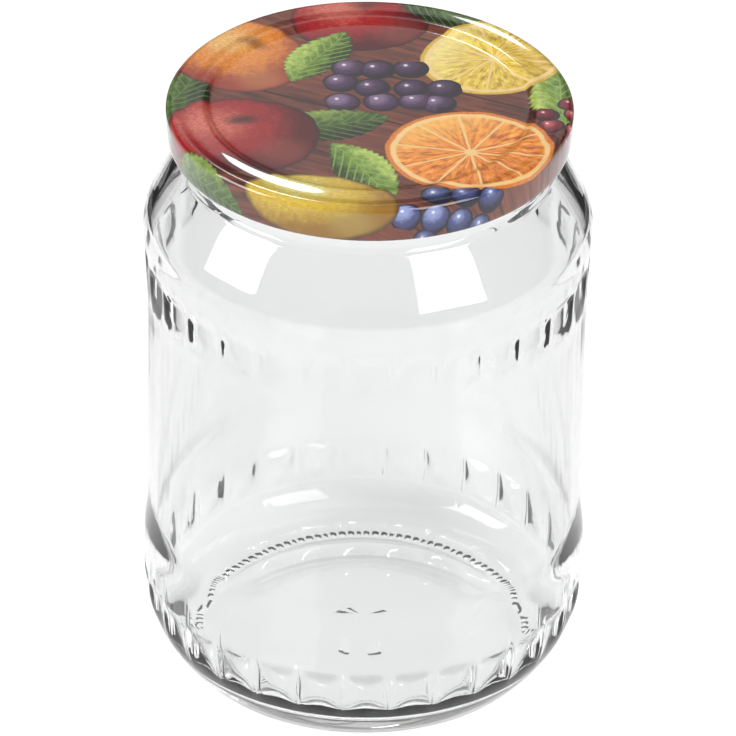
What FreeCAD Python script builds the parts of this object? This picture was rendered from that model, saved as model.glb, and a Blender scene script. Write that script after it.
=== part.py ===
# Screw-top jar: a round glass preserving jar with two belts of pressed panels, the quarter-turn
# steel lid that closes it, and the soft seal that lies between the lid and the glass rim.
# Frame: millimetres, +Z up, the origin on the ground at the middle of the jar's foot.

import FreeCAD, Part
import math
import os
import re
import Sketcher

# Driving sizes, in millimetres, degrees and counts.
sizes = {
    # the glass, from the ground up
    "glassHeight": 132.6,       # ground to rim
    "footRadius": 38.5,         # outer edge of the ring that the jar stands on
    "footWidth": 5.5,           # width of that ring
    "pushUp": 1.8,              # hollow under the foot
    "pushUpRun": 4.0,           # slope from the ring up into the hollow
    "heelRadius": 47.3,
    "heelRise": 19.5,           # ground to the top of the heel's curve
    "panelFoot": 34.3,          # ground to the straight label panel
    "heelStep": 4.0,            # slope between the heel belt and the panel
    "panelRadius": 46.44,
    "taperHeight": 19.1,        # the shoulder belt, which widens towards the shoulder
    "shoulderRadius": 47.45,
    "shoulderHeight": 14.7,     # widest ring up to the neck
    "shoulderBend": 7.0,        # small radius that starts the shoulder
    "shoulderTurn": 26.0,       # degrees that it turns through
    "shoulderLip": 0.9,         # the shoulder stands this far outside the neck
    "lipRise": 1.2,
    "finishHeight": 12.8,       # neck that the lid grips, up to the rim
    "wall": 2.6,
    "floorHeight": 5.5,         # ground to the inner floor
    "floorRound": 9.0,          # inner corner between floor and wall
    "neckRound": 3.0,
    "rimWall": 3.2,
    "rimRound": 1.0,
    "softRound": 3.0,           # moulded softening between belts and panel
    # the two belts of pressed panels
    "facetCount": 30,
    "ribWidth": 1.1,
    "pressReach": 6.0,          # how far outwards the pressed room is cleared
    "facetRound": 2.8,
    "upperDrop": 4.8,           # widest ring down to the upper belt's panels
    "upperHeight": 10.3,
    "upperDepth": 0.5,
    "upperLean": 3.0,           # degrees, the belt's own taper
    "lowerFoot": 10.2,          # ground to the lower belt's panels
    "lowerHeight": 10.6,
    "lowerDepth": 1.15,
    "lowerLean": 11.0,          # degrees, towards the heel
    # the lid
    "lidRadius": 42.9,
    "lidHeight": 8.3,
    "plate": 0.4,
    "lidRound": 1.6,
    "skirtTaper": 0.45,
    "ringClearance": 0.6,       # inner edge of the raised sealing ring to the seal
    "ringRun": 1.2,             # slope down to the middle panel
    "panelDrop": 1.0,
    "pressRound": 0.5,
    "curlWidth": 1.6,
    "curlHeight": 1.7,
    "curlRound": 0.65,
    # the seal
    "sealThickness": 1.0,
    "sealReach": 0.9,           # how far it stands past the rim, inside and outside
    # the quarter-turn grip
    "gripCount": 4,
    "threadHeight": 1.2,
    "threadWidth": 1.6,
    "threadSpan": 66.0,         # degrees
    "threadLead": 12.0,         # rise in a full turn
    "threadRoot": 0.4,          # bedded in the neck
    "threadClearance": 0.25,    # thread to the lid's curl
    "lugSpan": 16.0,            # degrees
    "lugThickness": 1.2,
    "lugLift": 0.15,            # curl's foot to the lug's foot
    "lugClearance": 0.35,       # lug to the neck
    "lugGap": 0.2,              # lug to the thread above it
}

# Places that more than one piece uses, worked out from the sizes above.
skirtFoot = "(lidRadius - skirtTaper)"
curlInner = f"({skirtFoot} - curlWidth)"
threadRadius = f"({curlInner} - threadClearance)"
collarRadius = f"({threadRadius} - threadHeight)"
mouthRadius = f"({collarRadius} - rimWall)"
ringRadius = f"({mouthRadius} - sealReach - ringClearance)"
collarFoot = "(glassHeight - finishHeight)"
widest = f"({collarFoot} - shoulderHeight)"
taperFoot = f"({widest} - taperHeight)"
heelBend = "(((heelRadius - footRadius)^2 + heelRise^2) / (2 * (heelRadius - footRadius)))"
ringUnder = "(glassHeight + sealThickness)"
lidTop = f"({ringUnder} + plate)"
lidFoot = f"({lidTop} - lidHeight)"
lugTop = f"({lidFoot} + lugLift + lugThickness)"

# Slope of the wall where the shoulder meets the neck, as a 3-4-5 triangle.
slopeAcross = 0.8
slopeUp = 0.6

doc = FreeCAD.newDocument("ScrewTopJar")
sheet = doc.addObject("Spreadsheet::Sheet", "Sizes")
for row, (alias, number) in enumerate(sizes.items(), start=1):
    sheet.set(f"A{row}", alias)
    sheet.set(f"B{row}", str(number))
    sheet.setAlias(f"B{row}", alias)
doc.recompute()


def bound(formula):
    """A formula in the sheet's names, as FreeCAD binds it."""
    return re.sub(r"\b[a-z]\w*\b(?!\()", r"Sizes.\g<0>", formula)


def amount(formula):
    """What a formula comes to with the sheet as it stands."""
    return float(sheet.evalExpression(formula))


def originPlane(body, role):
    return next(feature for feature in body.Origin.OriginFeatures if feature.Role == role)


def newBody(label):
    body = doc.addObject("PartDesign::Body", label)
    body.Label = label
    body.Placement = FreeCAD.Placement()
    return body


def newSketch(body, name, role):
    sketch = body.newObject("Sketcher::SketchObject", name)
    sketch.AttachmentSupport = [(originPlane(body, role), "")]
    sketch.MapMode = "FlatFace"
    return sketch


def dimension(sketch, name, formula, kind, *places):
    """Adds a named dimension and binds it to its formula."""
    index = sketch.addConstraint(Sketcher.Constraint(kind, *places, amount(formula)))
    sketch.renameConstraint(index, name)
    sketch.setExpression(f"Constraints.{name}", bound(formula))


def turned(vector, side):
    return FreeCAD.Vector(-side * vector.y, side * vector.x, 0)


class Outline:
    """A closed outline whose corners are pinned by formulas. Between two corners runs a straight
    edge, a bend of a given radius, or a flow: an arc that leaves the edge before it smoothly.
    A side of 1 curves to the left of the way, -1 to the right."""

    def __init__(self, body, name, role="XZ_Plane"):
        self.sketch = newSketch(body, name, role)
        self.corners = []

    def corner(self, across, up, edge="line", radius="", side=1, rounding=""):
        self.corners.append((across, up, edge, radius, side, rounding))
        return self

    def arc(self, centre, start, end, side):
        """An arc from start to end, and which of its ends is which: arcs run to the left."""
        first, last = (start, end) if side > 0 else (end, start)
        angles = [math.atan2(spot.y - centre.y, spot.x - centre.x) for spot in (first, last)]
        circle = Part.Circle(centre, FreeCAD.Vector(0, 0, 1), (start - centre).Length)
        geometry = Part.ArcOfCircle(circle, angles[0], angles[1])
        return geometry, (1, 2) if side > 0 else (2, 1)

    def edges(self, spots):
        heading = None
        for index, (_, _, edge, radius, side, _) in enumerate(self.corners):
            start, end = spots[index], spots[(index + 1) % len(spots)]
            span = end - start
            if edge == "line":
                heading = FreeCAD.Vector(span).normalize()
                yield Part.LineSegment(start, end), (1, 2)
                continue
            if edge == "bend":
                reach = amount(radius)
                depth = math.sqrt(reach ** 2 - (span.Length / 2) ** 2)
                centre = (start + end) / 2 + turned(span, side).normalize() * depth
            else:
                reach = span.Length ** 2 / (2 * span.dot(turned(heading, side)))
                centre = start + turned(heading, side) * reach
            heading = turned(end - centre, side).normalize()
            yield self.arc(centre, start, end, side)

    def roundCorner(self, edges, index, spot, radius):
        """Trims the two straight edges that meet at a corner, and gives the arc between them."""
        before, after = edges[index - 1][0], edges[index][0]
        back = (before.StartPoint - spot).normalize()
        ahead = (after.EndPoint - spot).normalize()
        half = back.getAngle(ahead) / 2
        reach = amount(radius)
        start = spot + back * (reach / math.tan(half))
        end = spot + ahead * (reach / math.tan(half))
        centre = spot + (back + ahead).normalize() * (reach / math.sin(half))
        edges[index - 1] = (Part.LineSegment(before.StartPoint, start), (1, 2))
        edges[index] = (Part.LineSegment(end, after.EndPoint), (1, 2))
        return self.arc(centre, start, end, 1 if back.cross(ahead).z < 0 else -1)

    def finish(self):
        sketch = self.sketch
        spots = [FreeCAD.Vector(amount(c[0]), amount(c[1]), 0) for c in self.corners]
        edges = list(self.edges(spots))
        arcs = {index: self.roundCorner(edges, index, spots[index], corner[5])
                for index, corner in enumerate(self.corners) if corner[5]}
        sketch.addGeometry([geometry for geometry, _ in edges], False)
        for index, (across, up, edge, radius, _, rounding) in enumerate(self.corners):
            before = (index - 1) % len(edges)
            last, first = (before, edges[before][1][1]), (index, edges[index][1][0])
            if rounding:
                arc = sketch.addGeometry(arcs[index][0], False)
                pin = (sketch.addGeometry(Part.Point(spots[index]), True), 1)
                sketch.addConstraint([
                    Sketcher.Constraint("Tangent", *last, arc, arcs[index][1][0]),
                    Sketcher.Constraint("Tangent", arc, arcs[index][1][1], *first),
                    Sketcher.Constraint("PointOnObject", *pin, before),
                    Sketcher.Constraint("PointOnObject", *pin, index),
                ])
                dimension(sketch, f"round{index}", rounding, "Radius", arc)
            else:
                pin = first
                joint = "Tangent" if edge == "flow" else "Coincident"
                sketch.addConstraint(Sketcher.Constraint(joint, *last, *first))
            if edge == "bend":
                dimension(sketch, f"bend{index}", radius, "Radius", index)
            if across == "0":
                sketch.addConstraint(Sketcher.Constraint("PointOnObject", *pin, -2))
            else:
                dimension(sketch, f"across{index}", across, "DistanceX", -1, 1, *pin)
            dimension(sketch, f"up{index}", up, "DistanceY", -1, 1, *pin)
        if sketch.solve() != 0:
            raise RuntimeError(f"{sketch.Name} can't be solved")
        return sketch


def turnAbout(body, kind, name, sketch, span=""):
    """A Revolution or Groove about the jar's axis, a full turn unless a span is given."""
    feature = body.newObject(f"PartDesign::{kind}", name)
    feature.Profile = sketch
    feature.ReferenceAxis = (sketch, ["V_Axis"])
    if span:
        feature.setExpression("Angle", bound(span))
        feature.Midplane = True
    else:
        feature.Angle = 360
    return feature


def repeatRound(body, feature, name, count):
    pattern = body.newObject("PartDesign::PolarPattern", name)
    pattern.Originals = [feature]
    pattern.Axis = (originPlane(body, "Z_Axis"), [""])
    pattern.Angle = 360
    pattern.setExpression("Occurrences", bound(count))
    body.Tip = pattern
    return pattern


def pressBelt(body, name, radius, middle, height, depth, lean):
    """A belt of flat panels pressed into the glass, with upright ribs left between them. Its
    pattern panel is drawn on a leaning plane that touches the pressed floor."""
    sketch = newSketch(body, f"{name}Panel", "YZ_Plane")
    sketch.setExpression("AttachmentOffset.Base.z", bound(f"{radius} - {depth}"))
    sketch.setExpression("AttachmentOffset.Base.y", bound(middle))
    sketch.setExpression("AttachmentOffset.Rotation.Yaw", "0")
    sketch.setExpression("AttachmentOffset.Rotation.Roll", bound(lean))
    halfWide = f"({radius} * sin(180 / facetCount) - ribWidth / 2)"
    halfHigh = f"({height} / 2)"
    wide, high, bend = amount(halfWide), amount(halfHigh), amount("facetRound")
    middles = [(wide - bend, high - bend), (bend - wide, high - bend),
               (bend - wide, bend - high), (wide - bend, bend - high)]
    quarters = [(FreeCAD.Vector(x, y, 0), 90 * turn) for turn, (x, y) in enumerate(middles)]
    upright = FreeCAD.Vector(0, 0, 1)
    for centre, start in quarters:
        circle = Part.Circle(centre, upright, bend)
        arc = Part.ArcOfCircle(circle, math.radians(start), math.radians(start + 90))
        sketch.addGeometry(arc, False)
    for turn in range(4):
        first, last = sketch.Geometry[turn], sketch.Geometry[(turn + 1) % 4]
        sketch.addGeometry(Part.LineSegment(first.EndPoint, last.StartPoint), False)
    for turn in range(4):
        sketch.addConstraint([
            Sketcher.Constraint("Tangent", turn, 2, 4 + turn, 1),
            Sketcher.Constraint("Tangent", 4 + turn, 2, (turn + 1) % 4, 1),
            Sketcher.Constraint("Vertical" if turn % 2 else "Horizontal", 4 + turn),
        ])
    sketch.addConstraint([Sketcher.Constraint("Equal", 0, turn) for turn in (1, 2, 3)])
    sketch.addConstraint(Sketcher.Constraint("Symmetric", 0, 3, 2, 3, -1, 1))
    dimension(sketch, "bend", "facetRound", "Radius", 0)
    dimension(sketch, "halfWide", halfWide, "DistanceX", -1, 1, 0, 1)
    dimension(sketch, "halfHigh", halfHigh, "DistanceY", -1, 1, 0, 2)
    pocket = body.newObject("PartDesign::Pocket", name)
    pocket.Profile = sketch
    pocket.Reversed = True
    pocket.setExpression("Length", bound("pressReach"))
    doc.recompute()
    before = pocket.BaseFeature.Shape.Volume
    if not pocket.Shape.Volume < before:
        raise RuntimeError(f"{name} presses nothing")
    return repeatRound(body, pocket, f"{name}Belt", "facetCount")


def glassOutline(body):
    outline = Outline(body, "glassOutline")
    outline.corner("0", "pushUp")
    outline.corner("footRadius - footWidth - pushUpRun", "pushUp", rounding="softRound")
    outline.corner("footRadius - footWidth", "0", rounding="rimRound")
    outline.corner("footRadius", "0", "bend", heelBend)
    outline.corner("heelRadius", "heelRise")
    outline.corner("heelRadius", "panelFoot - heelStep", rounding="softRound")
    outline.corner("panelRadius", "panelFoot", rounding="softRound")
    outline.corner("panelRadius", taperFoot, rounding="softRound")
    outline.corner("shoulderRadius", widest, "bend", "shoulderBend")
    outline.corner("shoulderRadius - shoulderBend * (1 - cos(shoulderTurn))",
                   f"{widest} + shoulderBend * sin(shoulderTurn)", "flow")
    outline.corner(f"{collarRadius} + shoulderLip", collarFoot)
    outline.corner(collarRadius, f"{collarFoot} + lipRise")
    outline.corner(collarRadius, "glassHeight", rounding="rimRound")
    outline.corner("0", "glassHeight")
    return outline.finish()


def cavityOutline(body):
    inner = "(shoulderBend - wall)"
    topAcross = f"({collarRadius} + shoulderLip - {slopeAcross} * wall)"
    topUp = f"({collarFoot} - {slopeUp} * wall)"
    outline = Outline(body, "cavityOutline")
    outline.corner("0", "floorHeight")
    outline.corner("panelRadius - wall", "floorHeight", rounding="floorRound")
    outline.corner("panelRadius - wall", taperFoot)
    outline.corner("shoulderRadius - wall", widest, "bend", inner)
    outline.corner(f"shoulderRadius - shoulderBend + {inner} * cos(shoulderTurn)",
                   f"{widest} + {inner} * sin(shoulderTurn)", "flow")
    outline.corner(topAcross, topUp)
    outline.corner(mouthRadius, f"{topUp} + ({topAcross} - {mouthRadius}) * {slopeAcross / slopeUp}",
                   rounding="neckRound")
    outline.corner(mouthRadius, "glassHeight - rimRound", "bend", "rimRound", -1)
    outline.corner(f"{mouthRadius} + rimRound", "glassHeight")
    outline.corner("0", "glassHeight")
    return outline.finish()


def threadSection(body):
    """Section of one thread ridge where it starts, just above its lug."""
    middle = f"({lugTop} + lugGap + threadWidth / 2)"
    outline = Outline(body, "threadSection")
    outline.corner(f"{collarRadius} - threadRoot", f"{middle} - threadWidth / 2")
    outline.corner(collarRadius, f"{middle} - threadWidth / 2")
    outline.corner(threadRadius, f"{middle} - threadWidth / 4")
    outline.corner(threadRadius, f"{middle} + threadWidth / 4")
    outline.corner(collarRadius, f"{middle} + threadWidth / 2")
    outline.corner(f"{collarRadius} - threadRoot", f"{middle} + threadWidth / 2")
    return outline.finish()


def makeJar():
    body = newBody("jar")
    turnAbout(body, "Revolution", "glass", glassOutline(body))
    doc.recompute()
    upperMiddle = f"({widest} - upperDrop - upperHeight / 2)"
    upperRadius = (f"(panelRadius + (shoulderRadius - panelRadius)"
                   f" * ({upperMiddle} - {taperFoot}) / taperHeight)")
    pressBelt(body, "upper", upperRadius, upperMiddle, "upperHeight", "upperDepth", "upperLean")
    lowerMiddle = "(lowerFoot + lowerHeight / 2)"
    lowerRadius = (f"(heelRadius - {heelBend}"
                   f" + sqrt({heelBend}^2 - (heelRise - {lowerMiddle})^2))")
    pressBelt(body, "lower", lowerRadius, lowerMiddle, "lowerHeight", "lowerDepth", "-lowerLean")
    turnAbout(body, "Groove", "cavity", cavityOutline(body))
    thread = body.newObject("PartDesign::AdditiveHelix", "thread")
    thread.Profile = threadSection(body)
    thread.ReferenceAxis = (thread.Profile[0], ["V_Axis"])
    thread.Mode = "pitch-height-angle"
    thread.setExpression("Pitch", bound("threadLead"))
    thread.setExpression("Height", bound("threadLead * threadSpan / 360"))
    repeatRound(body, thread, "threads", "gripCount")
    return body


def makeLid():
    body = newBody("lid")
    panelTop = f"({lidTop} - panelDrop)"
    outline = Outline(body, "lidOutline")
    outline.corner("0", f"{panelTop} - plate")
    outline.corner(f"{ringRadius} - ringRun", f"{panelTop} - plate", rounding="pressRound")
    outline.corner(ringRadius, ringUnder, rounding="pressRound")
    outline.corner("lidRadius - plate", ringUnder, rounding="lidRound - plate")
    outline.corner(f"{skirtFoot} - plate", f"{lidFoot} + curlHeight")
    outline.corner(curlInner, f"{lidFoot} + curlHeight", rounding="curlRound")
    outline.corner(curlInner, lidFoot, rounding="curlRound")
    outline.corner(skirtFoot, lidFoot, rounding="curlRound")
    outline.corner("lidRadius", lidTop, rounding="lidRound")
    outline.corner(ringRadius, lidTop, rounding="pressRound")
    outline.corner(f"{ringRadius} - ringRun", panelTop, rounding="pressRound")
    outline.corner("0", panelTop)
    turnAbout(body, "Revolution", "shell", outline.finish())
    lug = Outline(body, "lugSection")
    inner, outer = f"{collarRadius} + lugClearance", f"{curlInner} + curlWidth / 2"
    lug.corner(inner, f"{lidFoot} + lugLift")
    lug.corner(outer, f"{lidFoot} + lugLift")
    lug.corner(outer, lugTop)
    lug.corner(inner, lugTop)
    piece = turnAbout(body, "Revolution", "lug", lug.finish(), "lugSpan")
    repeatRound(body, piece, "lugs", "gripCount")
    return body


def makeSeal():
    body = newBody("seal")
    inner, outer = f"{mouthRadius} - sealReach", f"{collarRadius} + sealReach"
    outline = Outline(body, "sealSection")
    outline.corner(inner, "glassHeight")
    outline.corner(outer, "glassHeight")
    outline.corner(outer, ringUnder)
    outline.corner(inner, ringUnder)
    turnAbout(body, "Revolution", "ring", outline.finish())
    return body


pieces = [makeJar(), makeLid(), makeSeal()]
doc.recompute()

for item in doc.Objects:
    if "Invalid" in item.State or "Error" in item.State:
        raise RuntimeError(f"{item.Name} failed: {item.State}")

os.makedirs("parts", exist_ok=True)
for piece in pieces:
    shape = piece.Shape
    if shape.isNull() or not shape.isValid() or len(shape.Solids) != 1:
        raise RuntimeError(f"{piece.Label} isn't one sound solid")
    shape.exportStep(f"parts/{piece.Label}.step")
    box = shape.BoundBox
    print(piece.Label, f"{shape.Volume / 1000:.1f} cm3,",
          f"{box.XLength:.2f} x {box.YLength:.2f} x {box.ZMin:.2f} to {box.ZMax:.2f}")
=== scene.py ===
import math

import bmesh
import bpy
from mathutils import Matrix, Vector


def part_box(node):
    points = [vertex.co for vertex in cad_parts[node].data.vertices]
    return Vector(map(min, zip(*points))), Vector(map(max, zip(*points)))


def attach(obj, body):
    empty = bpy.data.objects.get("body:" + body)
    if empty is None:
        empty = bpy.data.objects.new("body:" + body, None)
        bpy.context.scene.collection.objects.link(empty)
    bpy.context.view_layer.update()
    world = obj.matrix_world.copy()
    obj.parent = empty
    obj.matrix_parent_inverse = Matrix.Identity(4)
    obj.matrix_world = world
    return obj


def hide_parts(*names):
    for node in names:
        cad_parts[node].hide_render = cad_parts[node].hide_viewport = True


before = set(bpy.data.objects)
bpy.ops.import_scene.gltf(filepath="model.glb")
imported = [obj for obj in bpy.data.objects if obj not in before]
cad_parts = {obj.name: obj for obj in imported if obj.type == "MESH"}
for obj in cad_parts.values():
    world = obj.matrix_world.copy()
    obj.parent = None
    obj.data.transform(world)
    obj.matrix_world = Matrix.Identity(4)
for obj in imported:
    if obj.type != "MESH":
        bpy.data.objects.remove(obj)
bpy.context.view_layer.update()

mm = 0.001


def deselectAll():
    if bpy.context.object and bpy.context.object.mode != "OBJECT":
        bpy.ops.object.mode_set(mode="OBJECT")
    bpy.ops.object.select_all(action="DESELECT")


def startOutline(name, across, up, angle=0.0):
    # a plane merged to one point is where an outline starts
    deselectAll()
    spot = (across * math.cos(angle) * mm, across * math.sin(angle) * mm, up * mm)
    bpy.ops.mesh.primitive_plane_add(size=mm, location=spot)
    piece = bpy.context.object
    piece.name = name
    bpy.ops.object.transform_apply(location=True, rotation=True, scale=True)
    bpy.ops.object.mode_set(mode="EDIT")
    bpy.ops.mesh.select_mode(type="VERT")
    bpy.ops.mesh.select_all(action="SELECT")
    bpy.ops.mesh.merge(type="CENTER")
    return piece


def extrudeAlong(rows, angle=0.0):
    # rows are (distance from the axis, height) in millimetres
    for (fromAcross, fromUp), (toAcross, toUp) in zip(rows, rows[1:]):
        across = (toAcross - fromAcross) * mm
        step = (across * math.cos(angle), across * math.sin(angle), (toUp - fromUp) * mm)
        bpy.ops.mesh.extrude_region_move(TRANSFORM_OT_translate={"value": step})


def selectFaces(piece, wanted):
    # wanted(centre) is asked about each face, in millimetres
    bpy.ops.mesh.select_mode(type="FACE")
    bpy.ops.mesh.select_all(action="DESELECT")
    shape = bmesh.from_edit_mesh(piece.data)
    for face in shape.faces:
        if wanted(face.calc_center_median() / mm):
            face.select = True
    shape.select_flush(True)
    bmesh.update_edit_mesh(piece.data)


def acrossOf(centre):
    return math.hypot(centre.x, centre.y)


def turnOf(centre):
    return math.degrees(math.atan2(centre.y, centre.x))


def cleanUp(gap=0.002):
    bpy.ops.mesh.select_all(action="SELECT")
    bpy.ops.mesh.remove_doubles(threshold=gap * mm)
    bpy.ops.mesh.normals_make_consistent(inside=False)


def turnRound(steps, angle, dupli=False):
    # the spin runs clockwise about +Z, so it is given the axis pointing down
    bpy.ops.mesh.spin(steps=steps, angle=angle, dupli=dupli, center=(0, 0, 0), axis=(0, 0, -1))


def closeHoles():
    # a round hole in the middle of a disc gets a fan of triangles
    bpy.ops.mesh.select_mode(type="EDGE")
    bpy.ops.mesh.select_all(action="DESELECT")
    bpy.ops.mesh.select_non_manifold(extend=False, use_wire=False, use_boundary=True,
                                     use_multi_face=False, use_non_contiguous=False, use_verts=False)
    bpy.ops.mesh.edge_face_add()
    bpy.ops.mesh.poke()


def applyModifier(piece, kind, **settings):
    modifier = piece.modifiers.new(kind.title(), kind)
    for name, value in settings.items():
        setattr(modifier, name, value)
    bpy.ops.object.modifier_apply(modifier=modifier.name)


def arcRows(centre, radius, start, end, steps):
    turns = [math.radians(start + (end - start) * step / steps) for step in range(steps + 1)]
    return [(centre[0] + radius * math.cos(turn), centre[1] + radius * math.sin(turn)) for turn in turns]


def flowRows(start, heading, end, steps):
    # an arc that leaves start in the heading's direction, curving to its left, and stops at end
    start, end, heading = Vector(start), Vector(end), Vector(heading).normalized()
    left = Vector((-heading.y, heading.x))
    span = end - start
    reach = span.length_squared / (2 * span.dot(left))
    centre = start + left * reach
    first, last = (spot - centre for spot in (start, end))
    turn = first.angle_signed(last)
    spots = [centre + Matrix.Rotation(-turn * step / steps, 2) @ first for step in range(steps + 1)]
    return [tuple(spot) for spot in spots]


def shares(start, end, steps):
    return [start + (end - start) * step / steps for step in range(steps + 1)]


# millimetres, with heights above the ground; pairs are (distance, height)
jarLow, jarHigh = (corner / mm for corner in map(Vector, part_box("jar")))

glassJar = {
    "panels": 30,
    "rib": 0.9,                # degrees
    "panelColumns": 7,
    "panelRows": 6,
    "footRadius": 38.5,
    "footWidth": 5.5,
    "footEdge": 0.9,           # the flat foot ends this far inside the heel
    "pushUp": 1.3,
    "baseFlat": (13.0, 21.4),  # radii
    "baseSlope": ((23.2, 1.24), (31.6, 0.22)),
    "footLip": (0.3, 0.12),
    "footFlat": 0.8,
    "heelRadius": 47.3,
    "heelRise": 19.5,
    "heelRows": (0.25, 1.2, 4.0, 8.0),
    "bandRows": (22.2, 27.0),
    "stepFoot": 28.8,
    "stepTop": 36.0,
    "panelRadius": 46.44,
    "wallRows": (37.5, 84.5),
    "taperFoot": 86.0,
    "taperRows": (87.0, 88.8),
    "widestRows": (101.6, 103.6),
    "widest": 105.1,
    "shoulderBend": 7.0,
    "shoulderTurn": 26.0,
    "collarFoot": 119.8,
    "collarRadius": 39.4,
    "collarFlare": (0.25, 0.7),
    "collarRows": (121.2, 126.4),
    "mouthRadius": 36.2,
    "neckRows": ((0.0, 122.5), (0.15, 120.9), (0.8, 119.6)),
    "neckSlope": (0.8, 0.6),   # the wall's slope there, as a 3-4-5 triangle
    "rimRound": 1.0,
    "rimCorner": 0.3,
    "lip": 0.9,
    "wall": 2.6,
    "wallWidest": (0.08, 103.6),
    "wallTaper": (0.06, 87.2),
    "inwardBulge": 0.7,        # how far the inner wall follows the heel outwards
    "innerStep": 28.3,
    "floor": 5.5,
    "floorRound": 9.0,
    "floorRun": 1.5,
    "hub": 5.4,                # the floor's rows end here, and a fan closes the rest
    # flat panels, sunk between sloped sides and longer sloped ends
    "upper": {"foot": 90.0, "height": 10.3, "depth": 0.65, "lean": -1.6, "side": 0.5, "end": 2.2},
    # fluted panels: shares of width, height and depth of patches inside one another
    "lower": {"foot": 10.2, "height": 10.6, "depth": 1.1, "lean": -5.0, "pivot": 0.5,
              "scoop": ((0.72, 0.6, 0.5), (0.45, 0.3, 0.33), (0.2, 0.3, 0.17))},
    "panelRound": 0.5,         # how strongly a panel's outline is smoothed
    "panelMargin": 0.5,
    "threads": 4,
    "threadFoot": 127.25,
    "threadRow": 0.6,
    "threadRows": 6,
    "threadReach": 1.15,
    "threadSpan": 66.0,        # degrees
    "threadStep": 18.0,        # degrees
    "threadMiddle": 129.0,
    "threadMargin": 0.3,
    "threadCrest": 0.9,        # share of the root's height
    "dashInner": 34.6,
    "dashOuter": 36.0,
    "dashDepth": 0.12,
    "dashInset": 0.06,
    # rings with the spans, in degrees, of the plain dashes on them, none a letter or number
    "marks": (((6.0, 6.8), ((150, 170), (32, 48), (120, 130))),
              ((11.4, 12.2), ((250, 262), (281, 294)))),
    "markBand": (0.1, 0.7),    # the faces meant lie this far out from a ring's first edge
    "markInset": 0.15,
    "markHeight": 0.15,
}


def beltHeights(belt):
    return shares(belt["foot"], belt["foot"] + belt["height"], glassJar["panelRows"])


def heelBend():
    jar = glassJar
    across = jar["heelRadius"] - jar["footRadius"]
    return (across ** 2 + jar["heelRise"] ** 2) / (2 * across)


def heelAcross(up):
    jar, bend = glassJar, heelBend()
    if up >= jar["heelRise"]:
        return jar["heelRadius"]
    return jar["heelRadius"] - bend + math.sqrt(bend ** 2 - (jar["heelRise"] - up) ** 2)


def taperAcross(up):
    jar = glassJar
    share = (up - jar["taperFoot"]) / (jar["widest"] - jar["taperFoot"])
    return jar["panelRadius"] + (jarHigh.x - jar["panelRadius"]) * share


def shoulderRows(inset, endAcross, endUp, steps):
    # small bend at the widest ring, then the long arc up to the neck
    jar = glassJar
    bend = jar["shoulderBend"]
    centre = (jarHigh.x - bend, jar["widest"])
    first = arcRows(centre, bend - inset, 0, jar["shoulderTurn"], 2)
    turn = math.radians(jar["shoulderTurn"])
    heading = (-math.sin(turn), math.cos(turn))
    return first + flowRows(first[-1], heading, (endAcross, endUp), steps)[1:]


def footRows():
    # the pushed-up base with its marks, then the flat ring that the jar stands on
    jar = glassJar
    ring = jar["footRadius"] - jar["footWidth"]
    rows = [(across, jar["pushUp"]) for edges, spans in jar["marks"] for across in edges]
    rows += [(across, jar["pushUp"]) for across in jar["baseFlat"]]
    rows += list(jar["baseSlope"])
    rows += [(ring + jar["footLip"][0], jar["footLip"][1]), (ring + jar["footFlat"], 0)]
    rows += [(jar["dashInner"], 0), (jar["dashOuter"], 0), (jar["footRadius"] - jar["footEdge"], 0)]
    return rows


def outsideRows():
    jar = glassJar
    rows = footRows()
    rows += [(heelAcross(up), up) for up in jar["heelRows"]]
    rows += [(heelAcross(up), up) for up in beltHeights(jar["lower"])]
    rows += [(jar["heelRadius"], up) for up in (*jar["bandRows"], jar["stepFoot"])]
    rows += [((jar["heelRadius"] + jar["panelRadius"]) / 2, (jar["stepFoot"] + jar["stepTop"]) / 2)]
    rows += [(jar["panelRadius"], up) for up in (jar["stepTop"], *jar["wallRows"])]
    rows += [(taperAcross(up), up) for up in jar["taperRows"]]
    rows += [(taperAcross(up), up) for up in beltHeights(jar["upper"])]
    rows += [(taperAcross(up), up) for up in jar["widestRows"]]
    rows += shoulderRows(0, jar["collarRadius"] + jar["lip"], jar["collarFoot"], 5)
    flareAcross, flareUp = jar["collarFlare"]
    rows += [(jar["collarRadius"] + flareAcross, jar["collarFoot"] + flareUp)]
    rows += [(jar["collarRadius"], up) for up in jar["collarRows"]]
    rows += [(jar["collarRadius"], jar["threadFoot"] + jar["threadRow"] * row)
             for row in range(jar["threadRows"] + 1)]
    rim, corner = jarHigh.z, jar["rimCorner"]
    rows += [(jar["collarRadius"], rim - jar["rimRound"]), (jar["collarRadius"] - corner, rim - corner)]
    rows += [(jar["collarRadius"] - jar["rimRound"], rim)]
    return rows


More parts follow.
